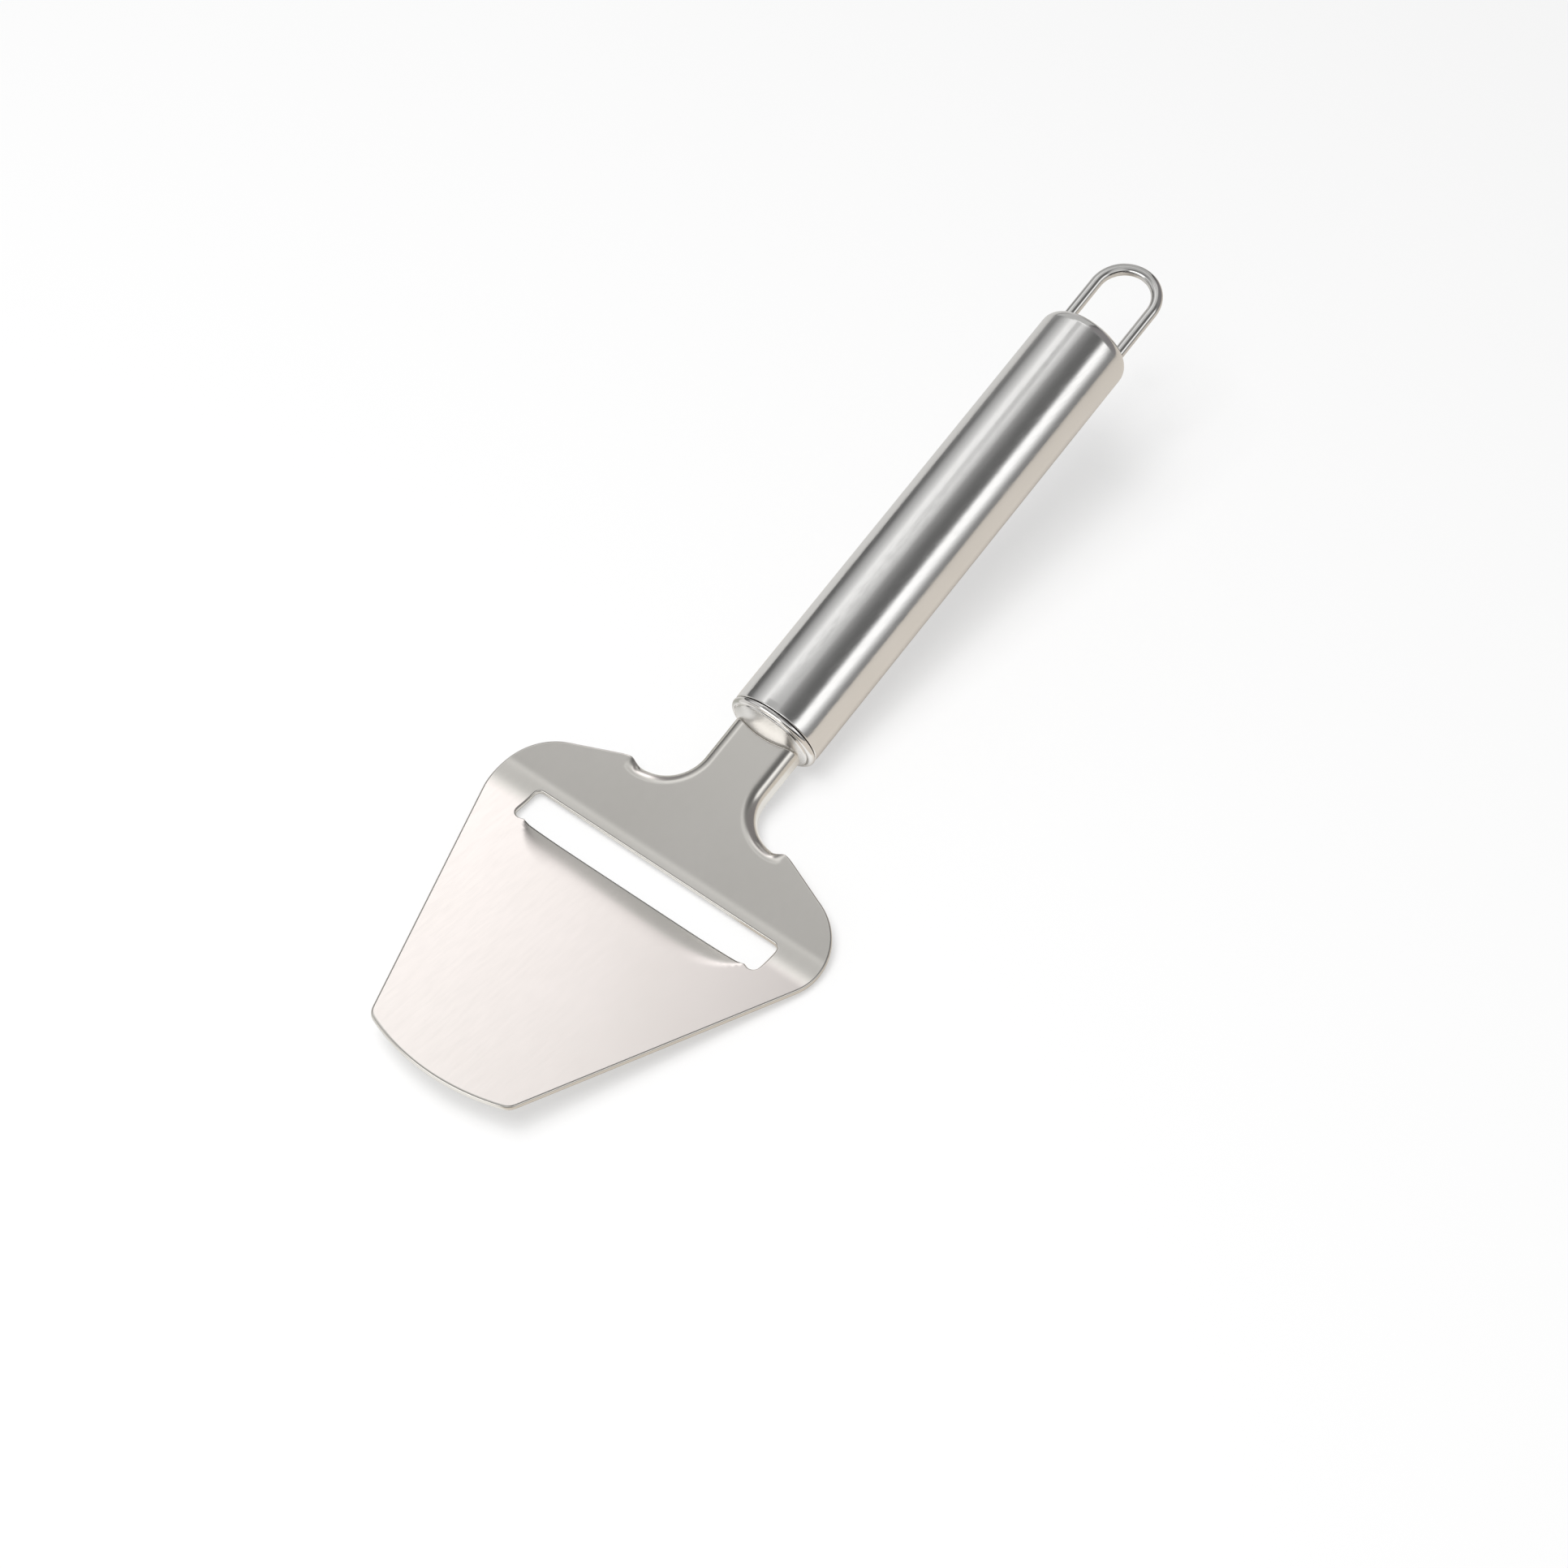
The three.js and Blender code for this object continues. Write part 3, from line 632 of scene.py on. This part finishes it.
# Where each point of the wire comes to lie, step by step: a name, a sum, and its one or two terms.
term = {"turn": sizes["Bend Radius"], "leg": sizes["Leg Length"],
        "along": add_node(loop_tree, "GeometryNodeSplineParameter").outputs["Factor"]}
for name, operation, a, b in (
        ("half_turn", "MULTIPLY", "turn", math.pi),
        ("both_legs", "MULTIPLY", "leg", 2.0),
        ("whole", "ADD", "both_legs", "half_turn"),
        ("travel", "MULTIPLY", "along", "whole"),
        ("past_leg", "SUBTRACT", "travel", "leg"),
        ("into_bend", "MAXIMUM", "past_leg", 0.0),
        ("in_bend", "MINIMUM", "into_bend", "half_turn"),
        ("angle", "DIVIDE", "in_bend", "turn"),
        ("sine", "SINE", "angle", 0.0),
        ("rise", "MULTIPLY", "sine", "turn"),
        ("cosine", "COSINE", "angle", 0.0),
        ("aside", "MULTIPLY", "cosine", "turn"),
        ("across", "MULTIPLY", "aside", -1.0),
        ("first_leg", "MINIMUM", "past_leg", 0.0),
        ("left_over", "SUBTRACT", "half_turn", "past_leg"),
        ("last_leg", "MINIMUM", "left_over", 0.0),
        ("legs", "ADD", "first_leg", "last_leg"),
        ("height", "ADD", "rise", "legs")):
    step = add_node(loop_tree, "ShaderNodeMath", {"operation": operation}, i0=term.get(a, a), i1=term.get(b, b))
    term[name] = step.outputs[0]
place = add_node(loop_tree, "ShaderNodeCombineXYZ", X=term["across"], Y=term["height"])
bent = add_node(loop_tree, "GeometryNodeSetPosition", Geometry=wire.outputs[0], Position=place.outputs[0])
round_wire = add_node(loop_tree, "GeometryNodeCurvePrimitiveCircle", Resolution=wire_sides,
                      Radius=sizes["Wire Radius"])
swept = add_node(loop_tree, "GeometryNodeCurveToMesh", Curve=bent.outputs[0],
                 Profile_Curve=round_wire.outputs[0], Fill_Caps=True)
smooth = add_node(loop_tree, "GeometryNodeSetShadeSmooth", Geometry=swept.outputs[0])
real = add_node(loop_tree, "GeometryNodeRealizeInstances", Geometry=smooth.outputs[0])
dressed = add_node(loop_tree, "GeometryNodeSetMaterial", Geometry=real.outputs[0], Material=sizes["Wire"])
add_node(loop_tree, "NodeGroupOutput", Geometry=dressed.outputs[0])

# Stainless wire, bright drawn: a small sharp mirror with a faint haze from the die.
haze_size = 2.0
wire_steel, t = new_material("stainless_wire_bright_drawn")
where = add_node(t, "ShaderNodeTexCoord").outputs["Object"]
haze = add_node(t, "ShaderNodeTexNoise", Vector=where, Scale=mm_per_m / haze_size, Detail=3.0)
rough = add_node(t, "ShaderNodeMapRange", Value=haze.outputs[0],
                 From_Min=0.3, From_Max=0.7, To_Min=0.07, To_Max=0.13)
bare_steel(t, haze.outputs[0], "#d8d7d5", "#e6e5e3", rough.outputs[0])

maker = bpy.data.objects.new("loop_maker", bpy.data.meshes.new("loop_maker"))
scene.collection.objects.link(maker)
modifier = maker.modifiers.new("bent_wire_loop", "NODES")
modifier.node_group = loop_tree
modifier[steel_input.identifier] = wire_steel
loop_mesh = bpy.data.meshes.new_from_object(maker.evaluated_get(bpy.context.evaluated_depsgraph_get()))
bpy.data.objects.remove(maker)
loop_mesh.name = "hanging_loop_wire"
points = np.array([tuple(v.co) for v in loop_mesh.vertices]) * mm_per_m + [0, loop_centre_y, 0]
loop_mesh.vertices.foreach_set("co", lay_down(points).astype(np.float32).ravel())
loop_mesh.update()
face_outwards(loop_mesh)
loop = bpy.data.objects.new("hanging_loop_wire", loop_mesh)
scene.collection.objects.link(loop)
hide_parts("hanging_loop")
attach(loop, "root")


# Table and studio: a white table top, two soft lamps above the front and the left, and a studio that only the
# metal mirrors. It has light panels high on the left and low on the right, dark between them, a light back
# wall and a panel low in front.
table_half = 6.0
corners = [(x * table_half, y * table_half, 0) for x, y in ((-1, -1), (1, -1), (1, 1), (-1, 1))]
floor_mesh = bpy.data.meshes.new("table_top")
floor_mesh.from_pydata(corners, [], [(0, 1, 2, 3)])
floor = bpy.data.objects.new("table_top", floor_mesh)
scene.collection.objects.link(floor)

# Matt white paint, lit from within by half so that shadows stay pale. Seen in the metal, the table shows painted
# reflection tones by zone: white beside the neck, beige further out on the right, grey on the left, and a painted
# shade left of the front cap.
table, t = new_material("white_table_matt")
where = add_node(t, "ShaderNodeTexCoord").outputs["Object"]
path = add_node(t, "ShaderNodeLightPath").outputs
table_x, table_y, _ = add_node(t, "ShaderNodeSeparateXYZ", i0=where).outputs
share = {}
for name, measure, start, full in (
        ("right", table_x, 0.015, 0.019), ("rear", table_y, -0.010, -0.003), ("left", table_x, -0.012, -0.030),
        ("before_handle", table_y, -0.002, -0.004), ("behind_blade", table_y, -0.018, -0.016),
        ("beside_cap", table_x, -0.010, -0.022)):
    share[name] = add_node(t, "ShaderNodeMapRange", Value=measure, From_Min=start, From_Max=full).outputs[0]
outer_part = add_node(t, "ShaderNodeMath", {"operation": "MAXIMUM"}, i0=share["right"], i1=share["rear"])
under_neck = add_node(t, "ShaderNodeMath", {"operation": "MULTIPLY"},
                      i0=share["before_handle"], i1=share["behind_blade"])
shade_by_cap = add_node(t, "ShaderNodeMath", {"operation": "MULTIPLY"},
                  i0=under_neck.outputs[0], i1=share["beside_cap"])
# Colours that only the metal sees: painted reflections, the darkest a painted shade left of the front cap.
mirrored = linear("#fbfbfa")
for part, tone in ((outer_part.outputs[0], "#dcd5cc"), (share["left"], "#d9d8d6"), (shade_by_cap.outputs[0], "#b2b2ac")):
    coat = add_node(t, "ShaderNodeMix", {"data_type": "RGBA"}, i0=part, i6=mirrored, i7=linear(tone))
    mirrored = coat.outputs[2]
paint = add_node(t, "ShaderNodeMix", {"data_type": "RGBA"},
                 i0=path["Is Glossy Ray"], i6=linear("#fdfdfd"), i7=mirrored)
glow_seen, glow_mirrored = 0.5, 0.3
in_view = add_node(t, "ShaderNodeMath", {"operation": "MULTIPLY"}, i0=path["Is Camera Ray"], i1=glow_seen)
glow_part = add_node(t, "ShaderNodeMath", {"operation": "MULTIPLY_ADD"},
                     i0=path["Is Glossy Ray"], i1=glow_mirrored, i2=in_view.outputs[0])
matt = add_node(t, "ShaderNodeBsdfDiffuse", Color=paint.outputs[2])
glow = add_node(t, "ShaderNodeEmission", Color=paint.outputs[2], Strength=1.0)
shade = add_node(t, "ShaderNodeMixShader", i0=glow_part.outputs[0], i1=matt.outputs[0], i2=glow.outputs[0])
add_node(t, "ShaderNodeOutputMaterial", Surface=shade.outputs[0])
floor_mesh.materials.append(table)

lamp_width = 0.5
for name, place, watts in (("front_panel", (0.05, -0.45, 1.0), 4.8), ("left_panel", (-0.20, -0.25, 1.0), 3.5)):
    lamp = bpy.data.objects.new(name, bpy.data.lights.new(name, "AREA"))
    scene.collection.objects.link(lamp)
    lamp.data.shape = "DISK"
    lamp.data.size = lamp_width
    lamp.data.energy = watts
    lamp.location = place
    lamp.rotation_euler = (-Vector(place)).to_track_quat("-Z", "Y").to_euler()
    lamp.visible_glossy = False

# A grey card that glows dimly stands behind the loop, out of sight of the camera: the round rear end mirrors it as
# a painted grey reflection.
card_left, card_right, card_y, card_foot, card_top = -0.10, -0.004, 0.135, 0.05, 0.125
card_mesh = bpy.data.meshes.new("grey_card")
card_mesh.from_pydata([(card_left, card_y, card_foot), (card_right, card_y, card_foot),
                       (card_right, card_y, card_top), (card_left, card_y, card_top)], [], [(0, 1, 2, 3)])
card = bpy.data.objects.new("grey_card", card_mesh)
scene.collection.objects.link(card)
card_grey, t = new_material("grey_card_glowing")
# The card glows with a fixed grey and lights nothing: it is a painted reflection.
glow = add_node(t, "ShaderNodeEmission", Color=linear("#bdbdbc"), Strength=1.0)
add_node(t, "ShaderNodeOutputMaterial", Surface=glow.outputs[0])
card_mesh.materials.append(card_grey)
card.visible_camera = card.visible_diffuse = card.visible_shadow = False

# Directions in the studio: x across the tool, y along it, z up, and climb in half turns about the tool.
world = bpy.data.worlds.new("studio")
scene.world = world
world.use_nodes = True
w = world.node_tree
w.nodes.clear()
look = add_node(w, "ShaderNodeTexCoord")
look_x, look_y, look_z = add_node(w, "ShaderNodeSeparateXYZ", i0=look.outputs["Generated"]).outputs
angle = add_node(w, "ShaderNodeMath", {"operation": "ARCTAN2"}, i0=look_z, i1=look_x)
climb = add_node(w, "ShaderNodeMath", {"operation": "MULTIPLY"}, i0=angle.outputs[0], i1=1 / math.pi).outputs[0]

# How bright each wall is along one measure of the direction. The room is the side walls at first.
brightest = 3.0
level = {}
for name, measure, stops in (
        ("room", climb,
         [(0.0, 0.25), (0.04, 0.28), (0.07, 0.41), (0.105, 0.66), (0.14, 1.0), (0.17, 1.2), (0.21, 1.2),
          (0.235, 0.87), (0.265, 0.3), (0.295, 0.16), (0.36, 0.15), (0.42, 0.21), (0.48, 0.34), (0.51, 0.53),
          (0.545, 0.71), (0.60, 0.88), (0.66, 0.97), (0.705, 0.99), (0.74, 0.82), (0.78, 0.65), (0.82, 0.52),
          (0.86, 0.41), (0.90, 0.27), (0.945, 0.15), (1.0, 0.13)]),
        ("back", look_y,
         [(0.0, 0.8), (0.30, 0.8), (0.40, 0.88), (0.50, 1.1), (0.58, 1.35), (0.64, 1.5), (0.74, 1.45),
          (0.79, 0.95), (0.84, 0.5), (0.9, 0.4), (1.0, 0.38)]),
        ("front_panel", look_z,
         [(0.0, 1.2), (0.12, 1.4), (0.2, 1.6), (0.3, 1.9), (0.44, 1.9), (0.51, 0.3), (0.75, 0.25), (0.9, 0.5),
          (1.0, 0.9)]),
        ("front", look_z, [(0.0, 0.3), (0.12, 0.35), (0.3, 0.7), (0.5, 0.62), (0.75, 0.4), (1.0, 0.8)]),
        ("front_right", look_z, [(0.0, 0.06), (0.3, 0.08), (0.42, 0.5), (0.55, 0.8), (0.75, 0.6), (1.0, 0.8)])):
    node = add_node(w, "ShaderNodeFloatCurve", i1=measure)
    node.mapping.clip_max_y = brightest
    points = node.mapping.curves[0].points
    while len(points) < len(stops):
        points.new(0.5, 0.5)
    for point, stop in zip(points, stops):
        point.location = stop
    node.mapping.update()
    level[name] = node.outputs[0]

# Zones of the studio: each edge is a measure, where the zone begins and where it is full.
zone = {}
for name, *edges in (
        ("over_plate", (look_x, -0.62, -0.5), (look_x, 0.1, -0.15), (look_y, 0.075, 0.03)),
        ("far_back", (look_y, 0.52, 0.66)),
        ("back_right", (look_x, -0.2, 0.1)),
        ("back_left", (look_x, -0.5, -0.62)),
        ("front_right", (look_x, 0.15, 0.3)),
        ("front_middle", (look_x, -0.6, -0.5), (look_x, 0.22, 0.1)),
        ("in_front", (look_y, -0.12, -0.35)),
        ("behind", (look_y, 0.32, 0.46)),
        ("over_bend", (look_x, -0.46, -0.42), (look_x, -0.24, -0.28), (look_y, 0.10, 0.15), (look_y, 0.5, 0.34)),
        ("rosy", (look_y, 0.5, 0.6))):
    zone[name] = 1.0
    for measure, begin, full in edges:
        edge = add_node(w, "ShaderNodeMapRange", {"interpolation_type": "SMOOTHSTEP"},
                        Value=measure, From_Min=begin, From_Max=full)
        inner = add_node(w, "ShaderNodeMath", {"operation": "MULTIPLY"}, i0=zone[name], i1=edge.outputs[0])
        zone[name] = inner.outputs[0]

# The back wall falls off to the right where it is far back. Then the walls are laid over one another, each
# within its zone, as a level or as another wall.
fall = add_node(w, "ShaderNodeMapRange", Value=look_x, From_Min=-0.47, From_Max=-0.26, To_Min=1.42, To_Max=0.2)
fade = add_node(w, "ShaderNodeMix", i0=zone["far_back"], i2=1.0, i3=fall.outputs[0])
faded = add_node(w, "ShaderNodeMath", {"operation": "MULTIPLY"}, i0=level["back"], i1=fade.outputs[0])
level["back"] = faded.outputs[0]
for wall, within, over in (
        ("back", "back_right", 0.25), ("back", "back_left", 0.3),
        ("front", "front_right", "front_right"), ("front", "front_middle", "front_panel"),
        ("room", "over_plate", 0.48), ("room", "in_front", "front"), ("room", "behind", "back"),
        ("room", "over_bend", 0.58)):
    coat = add_node(w, "ShaderNodeMix", i0=zone[within], i2=level[wall], i3=level.get(over, over))
    level[wall] = coat.outputs[0]

# The back wall is a little rosy. Matt surfaces get an even grey light, and the camera sees white.
white, rosy_white, even_light = (1, 1, 1, 1), (0.975, 0.935, 0.955, 1), (0.40, 0.40, 0.40, 1)
path = add_node(w, "ShaderNodeLightPath").outputs
rosy = add_node(w, "ShaderNodeMix", {"data_type": "RGBA"}, i0=zone["rosy"], i6=white, i7=rosy_white)
room = add_node(w, "ShaderNodeMix", {"data_type": "RGBA", "blend_type": "MULTIPLY"},
                i0=1.0, i6=level["room"], i7=rosy.outputs[2])
seen = add_node(w, "ShaderNodeMix", {"data_type": "RGBA"},
                i0=path["Is Glossy Ray"], i6=even_light, i7=room.outputs[2])
shown = add_node(w, "ShaderNodeMix", {"data_type": "RGBA"},
                 i0=path["Is Camera Ray"], i6=seen.outputs[2], i7=white)
sky = add_node(w, "ShaderNodeBackground", Color=shown.outputs[2], Strength=1.0)
add_node(w, "ShaderNodeOutputWorld", Surface=sky.outputs[0])
scene.view_settings.view_transform = "Standard"
